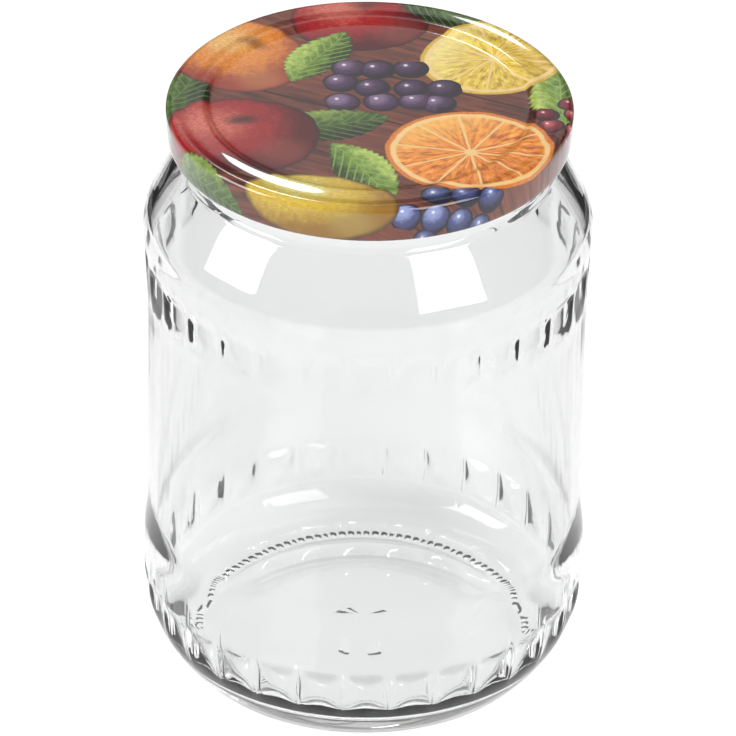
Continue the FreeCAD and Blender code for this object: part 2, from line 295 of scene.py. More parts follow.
def insideRows():
    jar, rim = glassJar, jarHigh.z
    wall, mouth, corner = jar["wall"], jar["mouthRadius"], jar["rimCorner"]
    rows = [(mouth + jar["rimRound"], rim), (mouth + corner, rim - corner), (mouth, rim - jar["rimRound"])]
    rows += [(mouth + out, up) for out, up in jar["neckRows"]]
    slopeAcross, slopeUp = jar["neckSlope"]
    top = (jar["collarRadius"] + jar["lip"] - slopeAcross * wall, jar["collarFoot"] - slopeUp * wall)
    rows += list(reversed(shoulderRows(wall, *top, 4)))
    rows += [(jarHigh.x - wall - jar["wallWidest"][0], jar["wallWidest"][1])]
    inner = jar["panelRadius"] - wall
    rows += [(inner + jar["wallTaper"][0], jar["wallTaper"][1])]
    rows += [(inner, jar["wallRows"][1]), (inner, jar["stepTop"])]
    inner += jar["inwardBulge"]
    rows += [(inner, jar["innerStep"])]
    bend = (inner - jar["floorRound"], jar["floor"] + jar["floorRound"])
    rows += [(inner, bend[1] + jar["floorRun"])]
    rows += arcRows(bend, jar["floorRound"], 0, -90, 4)
    rows += [(bend[0] - jar["floorRun"], jar["floor"]), (jar["hub"], jar["floor"])]
    return rows


def scoopPanel(piece, belt, half, middle):
    # nested patches are pushed in one after another, and the first leans, so a flute comes out
    for place, (width, height, depth) in enumerate(belt["scoop"]):
        def inPatch(centre):
            nearMiddle = abs(centre.z - middle.z / mm) < height * belt["height"] / 2
            outside = centre.x > middle.x / mm - glassJar["wall"] / 2
            return nearMiddle and outside and abs(turnOf(centre)) < width * half

        selectFaces(piece, inPatch)
        bpy.ops.transform.translate(value=(-depth * belt["depth"] * mm, 0, 0))
        if place == 0:
            pivot = middle - Vector((belt["pivot"] * mm, 0, 0))
            bpy.ops.transform.rotate(value=-math.radians(belt["lean"]), orient_axis="Y",
                                     center_override=pivot)


def sinkPanel(belt, middle):
    # the selected faces become one flat field inside a sloped frame
    half = belt["height"] / 2
    bpy.ops.mesh.inset(thickness=belt["side"] * mm, use_even_offset=True)
    shorter = (half - belt["end"]) / (half - belt["side"])
    bpy.ops.transform.resize(value=(0, 1, shorter), center_override=middle)
    bpy.ops.transform.translate(value=(-belt["depth"] * mm, 0, 0))
    bpy.ops.transform.rotate(value=-math.radians(belt["lean"]), orient_axis="Y",
                             center_override=middle - Vector((belt["depth"] * mm, 0, 0)))


def pressPanel(piece, belt, across):
    # one panel with rounded corners is pressed into the wedge where it looks along +X
    jar = glassJar
    half = (360 / jar["panels"] - jar["rib"]) / 2
    foot, top = belt["foot"], belt["foot"] + belt["height"]
    cell = belt["height"] / jar["panelRows"]
    columnTurn = 2 * half / jar["panelColumns"]

    def inPanel(centre):
        turn = abs(turnOf(centre))
        if turn > half or not foot < centre.z < top:
            return False
        atSide = turn > half - columnTurn
        atEnd = min(centre.z - foot, top - centre.z) < cell
        outside = centre.x > jar["panelRadius"] - jar["wall"] + jar["panelMargin"]
        return outside and not (atSide and atEnd)

    selectFaces(piece, inPanel)
    bpy.ops.mesh.region_to_loop()
    bpy.ops.mesh.select_mode(type="VERT")
    bpy.ops.mesh.vertices_smooth(factor=jar["panelRound"], repeat=2)
    middle = Vector((across, 0, (foot + top) / 2)) * mm
    if "scoop" in belt:
        scoopPanel(piece, belt, half, middle)
    else:
        selectFaces(piece, inPanel)
        sinkPanel(belt, middle)


def makeJar():
    jar = glassJar
    wedge = math.radians(360 / jar["panels"])
    rib = math.radians(jar["rib"])
    start = -wedge / 2 - rib / 2
    rows = outsideRows() + insideRows()
    piece = startOutline("glassJar", *rows[0], start)
    extrudeAlong(rows, start)
    bpy.ops.mesh.select_all(action="SELECT")
    turnRound(1, rib)
    turnRound(jar["panelColumns"], wedge - rib)
    cleanUp()
    for name, acrossAt in (("upper", taperAcross), ("lower", heelAcross)):
        belt = jar[name]
        pressPanel(piece, belt, acrossAt(belt["foot"] + belt["height"] / 2))
    bpy.ops.mesh.select_all(action="SELECT")
    turnRound(jar["panels"] - 1, 2 * math.pi - wedge, dupli=True)
    cleanUp()
    return piece


def raiseThreads(piece):
    # four bands of faces climb the collar in steps and are drawn outwards
    jar = glassJar

    def onThread(centre):
        if acrossOf(centre) < jar["collarRadius"] - jar["threadMargin"]:
            return False
        turn = turnOf(centre) % (360 / jar["threads"])
        foot = jar["threadFoot"] + jar["threadRow"] * int(turn / jar["threadStep"])
        return turn < jar["threadSpan"] and foot < centre.z < foot + 2 * jar["threadRow"]

    selectFaces(piece, onThread)
    reach = (jar["collarRadius"] + jar["threadReach"]) / jar["collarRadius"]
    bpy.ops.mesh.extrude_region_move()
    bpy.ops.transform.resize(value=(reach, reach, jar["threadCrest"]),
                             center_override=(0, 0, jar["threadMiddle"] * mm))


def stippleFoot(piece):
    # every other narrow face of the foot ring is pressed up, as a row of short bars
    jar = glassJar
    bars = jar["panels"] * (jar["panelColumns"] + 1)

    def onBar(centre):
        onRing = jar["dashInner"] < acrossOf(centre) < jar["dashOuter"] and centre.z < jar["dashDepth"]
        return onRing and int(turnOf(centre) % 360 / 360 * bars + 0.25) % 2 == 0

    selectFaces(piece, onBar)
    bpy.ops.mesh.inset(thickness=jar["dashInset"] * mm, use_even_offset=False)
    bpy.ops.transform.translate(value=(0, 0, jar["dashDepth"] * mm))


def raiseMarks(piece):
    # the dashes under the base
    jar = glassJar
    low, high = jar["markBand"]
    for edges, spans in jar["marks"]:
        def onMark(centre):
            onRing = low < acrossOf(centre) - edges[0] < high and centre.z < 2 * jar["pushUp"]
            return onRing and any(start < turnOf(centre) % 360 < end for start, end in spans)

        selectFaces(piece, onMark)
        bpy.ops.mesh.inset(thickness=jar["markInset"] * mm, use_even_offset=True)
        bpy.ops.transform.translate(value=(0, 0, -jar["markHeight"] * mm))


print("stage: glass jar")
jarPiece = makeJar()
raiseThreads(jarPiece)
bpy.ops.object.mode_set(mode="OBJECT")
applyModifier(jarPiece, "SUBSURF", levels=1, render_levels=1)
bpy.ops.object.mode_set(mode="EDIT")
stippleFoot(jarPiece)
raiseMarks(jarPiece)
closeHoles()
cleanUp()
bpy.ops.object.mode_set(mode="OBJECT")
bpy.ops.object.shade_smooth()
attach(jarPiece, "root")
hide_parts("jar")


lidLow, lidHigh = (corner / mm for corner in map(Vector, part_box("lid")))

steelLid = {
    "hub": 2.0,
    "grips": 4,
    "lugSpan": 16.0,           # degrees
    "lugColumns": 4,
    "skirtColumns": 18,
    "lugReach": 1.1,
    "lugFoot": 0.3,
    "lugTop": 1.3,
    "lugMargin": 0.2,
    "panelDrop": 1.0,
    "plate": 0.4,
    "shoulderRound": 1.6,
    "skirtTaper": 0.45,
    "curlWidth": 1.6,
    "curlRound": 0.65,
    "skirtRow": (0.7, 2.6),    # share of the taper, and height above the lid's foot
    "curlBack": ((0.0, 1.2), (0.45, 1.65)),
    "curlRoot": (0.15, 1.75),
    # the pressed sealing ring, outwards from its inner edge
    "ringInner": 34.7,
    "ringSlope": ((-3.2, 0.0), (-1.6, 0.0), (-1.0, 0.12)),
    "ringCrest": ((-0.2, 0.22), (0.5, 0.02), (1.2, 0.0)),
    "ringDip": ((2.4, 0.4), (3.8, 1.0), (5.0, 0.6)),
    "ringValley": 0.3,         # the dip's depth, of which ringDip gives shares
    "brim": (6.0, 0.02),
    "ringUnder": ((0.6, 0.0), (-0.1, 0.15)),
    "slopeUnder": ((-0.9, 0.15), (-1.5, 0.0)),
    "printFoot": 1.9,          # the print goes round the curl up to here inside
    "sheer": 0.5,              # a face that looks this much inwards is a wall
    "hanging": -0.3,           # and one that looks this much down is a ceiling
}


def lidOutsideRows():
    lid, top = steelLid, lidHigh.z
    panel, ring, bend = top - lid["panelDrop"], lid["ringInner"], lid["shoulderRound"]
    rows = [(lid["hub"], panel)]
    rows += [(ring + out, panel + up) for out, up in lid["ringSlope"]]
    rows += [(ring + out, top - drop) for out, drop in lid["ringCrest"]]
    rows += [(ring + out, top - share * lid["ringValley"]) for out, share in lid["ringDip"]]
    rows += [(ring + lid["brim"][0], top - lid["brim"][1])]
    rows += arcRows((lidHigh.x - bend, top - bend), bend, 90, 0, 4)
    share, up = lid["skirtRow"]
    rows += [(lidHigh.x - share * lid["skirtTaper"], lidLow.z + up)]
    return rows


def lidCurlRows():
    lid = steelLid
    outer, bend = lidHigh.x - lid["skirtTaper"], lid["curlRound"]
    inner = outer - lid["curlWidth"]
    rows = [(outer, lidLow.z + bend)]
    rows += arcRows((outer - bend, lidLow.z + bend), bend, 0, -90, 2)[1:]
    rows += arcRows((inner + bend, lidLow.z + bend), bend, -90, -180, 2)
    rows += [(inner + out, lidLow.z + up) for out, up in lid["curlBack"]]
    rows += [(outer - lid["plate"] - lid["curlRoot"][0], lidLow.z + lid["curlRoot"][1])]
    return rows


def lidInsideRows():
    lid, top = steelLid, lidHigh.z - steelLid["plate"]
    panel, ring = lidHigh.z - lid["panelDrop"] - lid["plate"], lid["ringInner"]
    bend = lid["shoulderRound"] - lid["plate"]
    outer = lidHigh.x - lid["plate"]
    share, up = lid["skirtRow"]
    rows = [(outer - share * lid["skirtTaper"], lidLow.z + up)]
    rows += arcRows((outer - bend, top - bend), bend, 0, 90, 3)
    rows += [(ring + out, top - drop) for out, drop in lid["ringUnder"]]
    rows += [(ring + out, panel + up) for out, up in lid["slopeUnder"]]
    rows += [(lid["hub"], panel)]
    return rows


def makeLid():
    lid = steelLid
    lugTurn = math.radians(lid["lugSpan"])
    quarter = 2 * math.pi / lid["grips"]
    rows = lidOutsideRows() + lidCurlRows() + lidInsideRows()
    piece = startOutline("steelLid", *rows[0], -lugTurn / 2)
    extrudeAlong(rows, -lugTurn / 2)
    bpy.ops.mesh.select_all(action="SELECT")
    turnRound(lid["lugColumns"], lugTurn)
    turnRound(lid["skirtColumns"], quarter - lugTurn)
    cleanUp()
    curlInner = lidHigh.x - lid["skirtTaper"] - lid["curlWidth"]

    def onLug(centre):
        # the curl's inner faces, on the first few columns
        inBand = lidLow.z + lid["lugFoot"] < centre.z < lidLow.z + lid["lugTop"]
        onCurl = acrossOf(centre) < curlInner + lid["lugMargin"]
        return inBand and onCurl and abs(turnOf(centre)) < lid["lugSpan"] / 2

    selectFaces(piece, onLug)
    squeeze = (curlInner - lid["lugReach"]) / curlInner
    bpy.ops.mesh.extrude_region_move()
    bpy.ops.transform.resize(value=(squeeze, squeeze, 1), center_override=(0, 0, lidLow.z * mm))
    bpy.ops.mesh.select_all(action="SELECT")
    turnRound(lid["grips"] - 1, 2 * math.pi - quarter, dupli=True)
    cleanUp()
    bpy.ops.object.mode_set(mode="OBJECT")
    applyModifier(piece, "SUBSURF", levels=1, render_levels=1)
    bpy.ops.object.mode_set(mode="EDIT")
    closeHoles()
    cleanUp()
    bpy.ops.object.mode_set(mode="OBJECT")
    bpy.ops.object.shade_smooth()
    return piece


def isInside(centre, normal):
    # the inner faces of the plate and the skirt, which are lacquered and not printed
    lid = steelLid
    if centre.z < lidLow.z + lid["printFoot"]:
        return False
    inwards = -(normal.x * centre.x + normal.y * centre.y) / acrossOf(centre)
    onSkirt = inwards > lid["sheer"] and centre.z < lidHigh.z - lid["shoulderRound"]
    return onSkirt or normal.z < lid["hanging"]


print("stage: lid")
lidPiece = makeLid()
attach(lidPiece, "root")
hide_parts("lid")


sealLow, sealHigh = (corner / mm for corner in map(Vector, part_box("seal")))

softSeal = {"inner": 35.3, "edgeRound": 0.3, "columns": 96, "groove": 0.12, "grooveReach": 0.8}


def makeSeal():
    seal = softSeal
    inner, outer, bend = seal["inner"], sealHigh.x, seal["edgeRound"]
    low, high = sealLow.z, sealHigh.z
    middle, reach = (inner + outer) / 2, seal["grooveReach"]
    rows = arcRows((outer - bend, low + bend), bend, -90, 0, 2)
    rows += arcRows((outer - bend, high - bend), bend, 0, 90, 2)
    rows += [(middle + reach, high), (middle, high - seal["groove"]), (middle - reach, high)]
    rows += arcRows((inner + bend, high - bend), bend, 90, 180, 2)
    rows += arcRows((inner + bend, low + bend), bend, 180, 270, 2)
    rows += [(middle, low), rows[0]]
    piece = startOutline("softSeal", *rows[0])
    extrudeAlong(rows)
    bpy.ops.mesh.select_all(action="SELECT")
    turnRound(seal["columns"], 2 * math.pi)
    cleanUp()
    bpy.ops.object.mode_set(mode="OBJECT")
    applyModifier(piece, "SUBSURF", levels=1, render_levels=1)
    bpy.ops.object.shade_smooth()
    return piece


print("stage: seal")
sealPiece = makeSeal()
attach(sealPiece, "root")
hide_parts("seal")


class Shader:
    # a material's, world's or group's node tree, with short calls to add nodes and links

    def __init__(self, tree):
        self.tree = tree
        tree.nodes.clear()

    def join(self, source, socket):
        if isinstance(source, bpy.types.NodeSocket):
            self.tree.links.new(source, socket)
        else:
            socket.default_value = source

    def add(self, kind, links=None, **settings):
        node = self.tree.nodes.new(kind)
        for name, value in settings.items():
            setattr(node, name, value)
        for socket, source in (links or {}).items():
            self.join(source, node.inputs[socket])
        return node

    def number(self, operation, *values, clamp=False):
        node = self.add("ShaderNodeMath", dict(enumerate(values)), operation=operation, use_clamp=clamp)
        return node.outputs[0]

    def vector(self, operation, *values):
        node = self.add("ShaderNodeVectorMath", dict(enumerate(values)), operation=operation)
        return node.outputs["Value" if operation in ("LENGTH", "DOT_PRODUCT", "DISTANCE") else 0]

    def split(self, source):
        return self.add("ShaderNodeSeparateXYZ", {0: source}).outputs

    def combine(self, x, y, z=0.0):
        return self.add("ShaderNodeCombineXYZ", {0: x, 1: y, 2: z}).outputs[0]

    def step(self, value, low, high):
        # rises smoothly from 0 at low to 1 at high, either way round
        node = self.add("ShaderNodeMapRange", {"Value": value, "From Min": low, "From Max": high},
                        interpolation_type="SMOOTHSTEP")
        return node.outputs[0]

    def blend(self, share, first, second, mode="MIX"):
        node = self.add("ShaderNodeMix", data_type="RGBA", blend_type=mode)
        for socket, source in zip((node.inputs[0], node.inputs[6], node.inputs[7]),
                                  (share, first, second)):
            self.join(source, socket)
        return node.outputs[2]

    def noise(self, place, scale, detail=2.0, roughness=0.5, stretch=None):
        if stretch:
            place = self.vector("MULTIPLY", place, stretch)
        node = self.add("ShaderNodeTexNoise", {"Vector": place, "Scale": scale, "Detail": detail,
                                               "Roughness": roughness})
        return node.outputs["Fac"]


def newMaterial(name):
    material = bpy.data.materials.new(name)
    material.use_nodes = True
    return material, Shader(material.node_tree)


def newGroup(name, inputs, outputs):
    # inputs and outputs are {socket name: kind}, with kinds Float, Vector and Color
    tree = bpy.data.node_groups.new(name, "ShaderNodeTree")
    for side, sockets in (("INPUT", inputs), ("OUTPUT", outputs)):
        for socket, kind in sockets.items():
            tree.interface.new_socket(socket, in_out=side, socket_type="NodeSocket" + kind)
    nodes = Shader(tree)
    return tree, nodes, nodes.add("NodeGroupInput").outputs, nodes.add("NodeGroupOutput").inputs


def useGroup(nodes, tree, **values):
    node = nodes.add("ShaderNodeGroup", node_tree=tree)
    for name, value in values.items():
        nodes.join(value, node.inputs[name])
    return node.outputs


fruitSockets = {"Sheet": "Vector", "Middle": "Vector", "Turn": "Vector", "Half": "Vector",
                "Light": "Color", "Body": "Color", "Shade": "Color"}


def localPlace(nodes, given):
    # the sheet's place, seen from the motif's own middle, turned and measured in its half sizes
    node = nodes.add("ShaderNodeMapping", {"Vector": given["Sheet"], "Location": given["Middle"],
                                           "Rotation": given["Turn"], "Scale": given["Half"]},
                     vector_type="TEXTURE")
    return node.outputs[0]


def sheetGroup():
    # the printed sheet was flat: what is now the skirt lay outside the top
    tree, nodes, given, made = newGroup("flatSheet", {"Place": "Vector", "Top": "Float"},
                                        {"Sheet": "Vector"})
    x, y, z = nodes.split(given["Place"])
    across = nodes.number("SQRT", nodes.number("ADD", nodes.number("MULTIPLY", x, x),
                                               nodes.number("MULTIPLY", y, y)))
    drop = nodes.number("MAXIMUM", nodes.number("SUBTRACT", given["Top"], z), 0.0)
    onSkirt = nodes.number("GREATER_THAN", across, printedLacquer["drawnFrom"])
    spread = nodes.number("ADD", across, nodes.number("MULTIPLY", drop, onSkirt))
    scale = nodes.number("DIVIDE", spread, nodes.number("MAXIMUM", across, 0.0001))
    scale = nodes.number("MULTIPLY", scale, 1000.0)
    nodes.join(nodes.combine(nodes.number("MULTIPLY", x, scale), nodes.number("MULTIPLY", y, scale)),
               made["Sheet"])
    return tree


def roundFruitGroup():
    # a painted ball of fruit, lit from the upper left, with brushed skin and a dark outline
    tree, nodes, given, made = newGroup("roundFruit", fruitSockets | {"Dimple": "Float"},
                                        {"Color": "Color", "Mask": "Float"})
    sheet = given["Sheet"]
    place = localPlace(nodes, given)
    x, y, _ = nodes.split(place)
    wobble = nodes.number("MULTIPLY_ADD", nodes.noise(sheet, 0.11), 0.14, -0.07)
    away = nodes.number("ADD", nodes.vector("LENGTH", nodes.combine(x, y)), wobble)
    square = nodes.number("MULTIPLY", away, away)
    spot = nodes.vector("SUBTRACT", nodes.combine(x, y), (-0.3, 0.36, 0.0))
    glow = nodes.number("SUBTRACT", 1.0, nodes.number("MULTIPLY", nodes.vector("LENGTH", spot), 0.9))
    brush = nodes.noise(sheet, 0.5, 6.0, 0.72)
    lit = nodes.number("ADD", glow, nodes.number("MULTIPLY_ADD", brush, 0.55, -0.28))
    color = nodes.blend(nodes.step(lit, -0.05, 0.45), given["Shade"], given["Body"])
    color = nodes.blend(nodes.step(lit, 0.42, 0.95), color, given["Light"])
    hatch = nodes.noise(place, 5.0, 5.0, 0.7, (3.0, 14.0, 1.0))
    color = nodes.blend(nodes.step(hatch, 0.62, 0.44), color,
                        nodes.blend(0.5, color, given["Shade"]))
    bounce = nodes.step(nodes.vector("LENGTH", nodes.vector("SUBTRACT", place, (0.45, -0.5, 0.0))),
                        0.5, 0.1)
    color = nodes.blend(nodes.number("MULTIPLY", bounce, 0.14), color, given["Light"])
    hollow = nodes.vector("LENGTH", nodes.vector("MULTIPLY", nodes.vector(
        "SUBTRACT", place, (0.12, 0.42, 0.0)), (1.0, 1.9, 1.0)))
    hollow = nodes.number("MULTIPLY", nodes.step(hollow, 0.36, 0.02), given["Dimple"])
    color = nodes.blend(hollow, color, nodes.blend(0.8, given["Shade"], inks["dimple"]))
    color = nodes.blend(nodes.number("MULTIPLY", nodes.step(square, 0.8, 1.0), 0.8), color,
                        inks["fruitLine"])
    nodes.join(color, made["Color"])
    nodes.join(nodes.step(away, 1.0, 0.975), made["Mask"])
    return tree


def berryGroup():
    # a heap of small balls, each lit by itself; whole balls are in or out of the heap
    tree, nodes, given, made = newGroup("berryHeap", fruitSockets | {"Grain": "Float"},
                                        {"Color": "Color", "Mask": "Float"})
    sheet = given["Sheet"]
    cells = nodes.add("ShaderNodeTexVoronoi", {
        "Vector": sheet, "Scale": nodes.number("DIVIDE", 1.0, given["Grain"]), "Randomness": 0.4},
        voronoi_dimensions="2D")
    heart = cells.outputs["Position"]
    heap = nodes.add("ShaderNodeMapping", {"Vector": heart, "Location": given["Middle"],
                                           "Rotation": given["Turn"], "Scale": given["Half"]},
                     vector_type="TEXTURE").outputs[0]
    local = nodes.vector("SCALE", nodes.vector("SUBTRACT", sheet, heart))
    nodes.join(nodes.number("DIVIDE", 1.0, given["Grain"]), local.node.inputs["Scale"])
    flat = nodes.vector("MULTIPLY", local, (1.0, 1.0, 0.0))
    away = nodes.vector("LENGTH", flat)
    glow = nodes.vector("LENGTH", nodes.vector("SUBTRACT", flat, (-0.16, 0.2, 0.0)))
    brush = nodes.noise(sheet, 1.3, 5.0, 0.7)
    lit = nodes.number("SUBTRACT", nodes.number("MULTIPLY_ADD", brush, 0.35, 0.62), glow)
    tone = nodes.add("ShaderNodeTexWhiteNoise", {"Vector": heart}, noise_dimensions="2D")
    tone = tone.outputs["Value"]
    lit = nodes.number("ADD", lit, nodes.number("MULTIPLY_ADD", tone, 0.3, -0.15))
    color = nodes.blend(nodes.step(lit, 0.1, 0.42), given["Shade"], given["Body"])
    color = nodes.blend(nodes.step(lit, 0.42, 0.78), color, given["Light"])
    glint = nodes.step(glow, 0.09, 0.03)
    color = nodes.blend(nodes.number("MULTIPLY", glint, 0.7), color, inks["berryGlint"])
    color = nodes.blend(nodes.step(away, 0.42, 0.54), color, inks["berryLine"])
    inHeap = nodes.step(nodes.vector("LENGTH", nodes.vector("MULTIPLY", heap, (1.0, 1.0, 0.0))),
                        1.0, 0.99)
    nodes.join(color, made["Color"])
    nodes.join(nodes.number("MULTIPLY", inHeap, nodes.step(away, 0.57, 0.54)), made["Mask"])
    return tree


def leafGroup():
    # a pointed leaf with a toothed edge, a midrib and side veins
    tree, nodes, given, made = newGroup("leaf", fruitSockets, {"Color": "Color", "Mask": "Float"})
    place = localPlace(nodes, given)
    x, y, _ = nodes.split(place)
    side = nodes.number("ABSOLUTE", nodes.number("ADD", y, nodes.number(
        "MULTIPLY", nodes.number("SINE", nodes.number("MULTIPLY", x, 2.2)), 0.12)))
    bow = nodes.number("SUBTRACT", 1.0, nodes.number("MULTIPLY", x, x))
    teeth = nodes.number("PINGPONG", nodes.number("ADD", x, nodes.number("MULTIPLY", side, 0.3)), 0.07)
    edge = nodes.number("ADD", nodes.number("MULTIPLY", bow, 0.88), nodes.number("MULTIPLY", teeth, 1.2))
    inside = nodes.number("SUBTRACT", edge, side)
    veins = nodes.number("PINGPONG", nodes.number("SUBTRACT", x, nodes.number("MULTIPLY", side, 0.7)),
                         0.11)
    rib = nodes.number("MINIMUM", nodes.number("MULTIPLY", side, 1.3), veins)
    brush = nodes.noise(given["Sheet"], 0.45, 5.0, 0.7)
    lit = nodes.number("ADD", nodes.number("MULTIPLY", y, 0.45), nodes.number("ADD", brush, 0.02))
    color = nodes.blend(nodes.step(lit, 0.2, 0.6), given["Shade"], given["Body"])
    color = nodes.blend(nodes.step(lit, 0.55, 0.95), color, given["Light"])
    color = nodes.blend(nodes.number("MULTIPLY", nodes.step(rib, 0.035, 0.01), 0.6), color,
                        nodes.blend(0.5, given["Light"], given["Body"]))
    color = nodes.blend(nodes.number("MULTIPLY", nodes.step(inside, 0.13, 0.0), 0.75), color,
                        inks["leafLine"])
    nodes.join(color, made["Color"])
    nodes.join(nodes.step(inside, 0.0, 0.04), made["Mask"])
    return tree


def citrusGroup():
    # a halved citrus fruit: rind, pith and wedges of flesh
    tree, nodes, given, made = newGroup("citrusHalf", fruitSockets | {"Wedges": "Float"},
                                        {"Color": "Color", "Mask": "Float"})
    place = localPlace(nodes, given)
    x, y, _ = nodes.split(place)
    wobble = nodes.number("MULTIPLY_ADD", nodes.noise(given["Sheet"], 0.2), 0.05, -0.025)
    away = nodes.number("ADD", nodes.vector("LENGTH", nodes.combine(x, y)), wobble)
    turn = nodes.number("DIVIDE", nodes.number("ARCTAN2", y, x), 2 * math.pi)
    wedge = nodes.number("PINGPONG", nodes.number("MULTIPLY", turn, given["Wedges"]), 0.5)
    wall = nodes.number("MULTIPLY", nodes.number("MINIMUM", wedge, nodes.number("SUBTRACT", 1.0, wedge)),
                        away)
    fibres = nodes.noise(nodes.combine(nodes.number("MULTIPLY", turn, 60.0),
                                       nodes.number("MULTIPLY", away, 5.0)), 1.0, 4.0, 0.65)
    color = nodes.blend(nodes.step(fibres, 0.32, 0.6), given["Shade"], given["Body"])
    color = nodes.blend(nodes.number("MULTIPLY", nodes.step(fibres, 0.55, 0.75), 0.8), color,
                        given["Light"])
    lit = nodes.number("ADD", nodes.number("MULTIPLY", x, -0.35), nodes.number("MULTIPLY", y, 0.4))
    color = nodes.blend(nodes.step(lit, 0.0, 0.75), color, given["Light"])
    color = nodes.blend(nodes.number("MULTIPLY", nodes.step(lit, -0.05, -0.6), 0.5), color,
                        given["Shade"])
    pith = nodes.number("MAXIMUM", nodes.step(wall, 0.035, 0.012), nodes.step(away, 0.84, 0.87))
    pith = nodes.number("MAXIMUM", pith, nodes.step(away, 0.1, 0.06))
    color = nodes.blend(nodes.number("MULTIPLY", pith, 0.85), color, inks["pith"])
    rind = nodes.step(away, 0.91, 0.94)
    color = nodes.blend(rind, color, nodes.blend(nodes.noise(given["Sheet"], 1.4, 4.0), given["Shade"],
                                                 given["Body"]))
    color = nodes.blend(nodes.number("MULTIPLY", nodes.step(away, 0.97, 1.0), 0.8), color,
                        inks["citrusLine"])
    nodes.join(color, made["Color"])
    nodes.join(nodes.step(away, 1.0, 0.98), made["Mask"])
    return tree


def woodGroup():
    # brown boards under the fruit
    tree, nodes, given, made = newGroup("woodGround", {"Sheet": "Vector", "Light": "Color",
                                                       "Shade": "Color"}, {"Color": "Color"})
    board = nodes.add("ShaderNodeMapping", {"Vector": given["Sheet"],
                                            "Rotation": (0, 0, math.radians(24))}).outputs[0]
    grain = nodes.noise(board, 0.3, 7.0, 0.68, (0.16, 2.2, 1.0))
    patch = nodes.noise(board, 0.06, 3.0)
    color = nodes.blend(nodes.step(nodes.number("ADD", grain, nodes.number("MULTIPLY", patch, 0.5)),
                                   0.5, 1.0), given["Shade"], given["Light"])
    _, y, _ = nodes.split(board)
    seam = nodes.step(nodes.number("PINGPONG", nodes.number("ADD", y, 4.0), 8.5), 0.5, 0.15)
    color = nodes.blend(nodes.number("MULTIPLY", seam, 0.8), color, inks["boardSeam"])
    nodes.join(color, made["Color"])
    return tree


# lines and spots that are the same on every motif of a kind
inks = {
    "fruitLine": (0.02, 0.01, 0.012, 1),
    "dimple": (0.02, 0.015, 0.01, 1),
    "berryLine": (0.012, 0.008, 0.014, 1),
    "berryGlint": (0.9, 0.9, 0.92, 1),
    "leafLine": (0.015, 0.02, 0.008, 1),
    "citrusLine": (0.05, 0.02, 0.01, 1),
    "pith": (0.85, 0.6, 0.26, 1),
    "boardSeam": (0.02, 0.008, 0.005, 1),
}

# painted colours, light, body and shade
paints = {
    "citrusFlesh": ((0.95, 0.58, 0.16, 1), (0.88, 0.3, 0.035, 1), (0.4, 0.08, 0.012, 1)),
    "apricot": ((0.97, 0.62, 0.2, 1), (0.88, 0.33, 0.05, 1), (0.3, 0.04, 0.02, 1)),
    "yellow": ((0.82, 0.8, 0.28, 1), (0.7, 0.5, 0.06, 1), (0.28, 0.14, 0.02, 1)),
    "lemonFlesh": ((0.93, 0.83, 0.36, 1), (0.83, 0.6, 0.08, 1), (0.42, 0.24, 0.03, 1)),
    "red": ((0.8, 0.2, 0.14, 1), (0.42, 0.015, 0.016, 1), (0.08, 0.002, 0.004, 1)),
    "darkRed": ((0.5, 0.1, 0.1, 1), (0.17, 0.012, 0.02, 1), (0.035, 0.003, 0.008, 1)),
    "plum": ((0.2, 0.13, 0.23, 1), (0.06, 0.025, 0.07, 1), (0.012, 0.005, 0.018, 1)),
    "blue": ((0.28, 0.33, 0.6, 1), (0.055, 0.065, 0.18, 1), (0.008, 0.009, 0.032, 1)),
    "green": ((0.5, 0.62, 0.14, 1), (0.14, 0.25, 0.035, 1), (0.02, 0.045, 0.008, 1)),
    "darkGreen": ((0.25, 0.35, 0.08, 1), (0.055, 0.11, 0.02, 1), (0.012, 0.022, 0.006, 1)),
}

# each motif: kind, paint, middle and half sizes on the flat sheet in millimetres, turn in degrees
motifs = [
    ("leaf", "darkGreen", (-41, 0), (13, 7.5), 75, {}),
    ("leaf", "green", (40, 4), (13, 7.5), 100, {}),
    ("fruit", "red", (-2, 35), (15.5, 12.5), 10, {"Dimple": 0.7}),
    ("leaf", "darkGreen", (15, 38), (12, 6), -30, {}),
    ("citrus", "lemonFlesh", (26, 20), (16, 14.5), 25, {"Wedges": 9.0}),
    ("fruit", "apricot", (-28, 19), (15.5, 14), -15, {"Dimple": 0.6}),
    ("leaf", "green", (-11, 20), (12, 6.5), 65, {}),
    ("berries", "plum", (3, 7), (16, 12), 10, {"Grain": 7.0}),
    ("leaf", "darkGreen", (-9, -8), (14, 7), 20, {}),
    ("fruit", "red", (-27, -13), (17, 15.5), 12, {"Dimple": 0.9}),
    ("berries", "darkRed", (41, -9), (12, 8), 80, {"Grain": 5.2}),
    ("citrus", "citrusFlesh", (21, -18), (18, 16.5), -10, {"Wedges": 10.0}),
    ("leaf", "green", (-1, -26), (13, 7), -55, {}),
    ("leaf", "darkGreen", (-38, -29), (13, 7), -50, {}),
    ("berries", "blue", (17, -42), (13, 8), 12, {"Grain": 6.4}),
    ("fruit", "yellow", (-10, -39), (17, 11), -12, {"Dimple": 0.0}),
]


printedLacquer = {"roughness": 0.32, "specular": 0.15, "coatRoughness": 0.03, "peel": 0.012,
                  "peelScale": 700.0, "boardLight": (0.24, 0.065, 0.035, 1),
                  "boardShade": (0.045, 0.013, 0.01, 1),
                  "drawnFrom": 0.0385}    # metres from the axis; the skirt was drawn from outside it


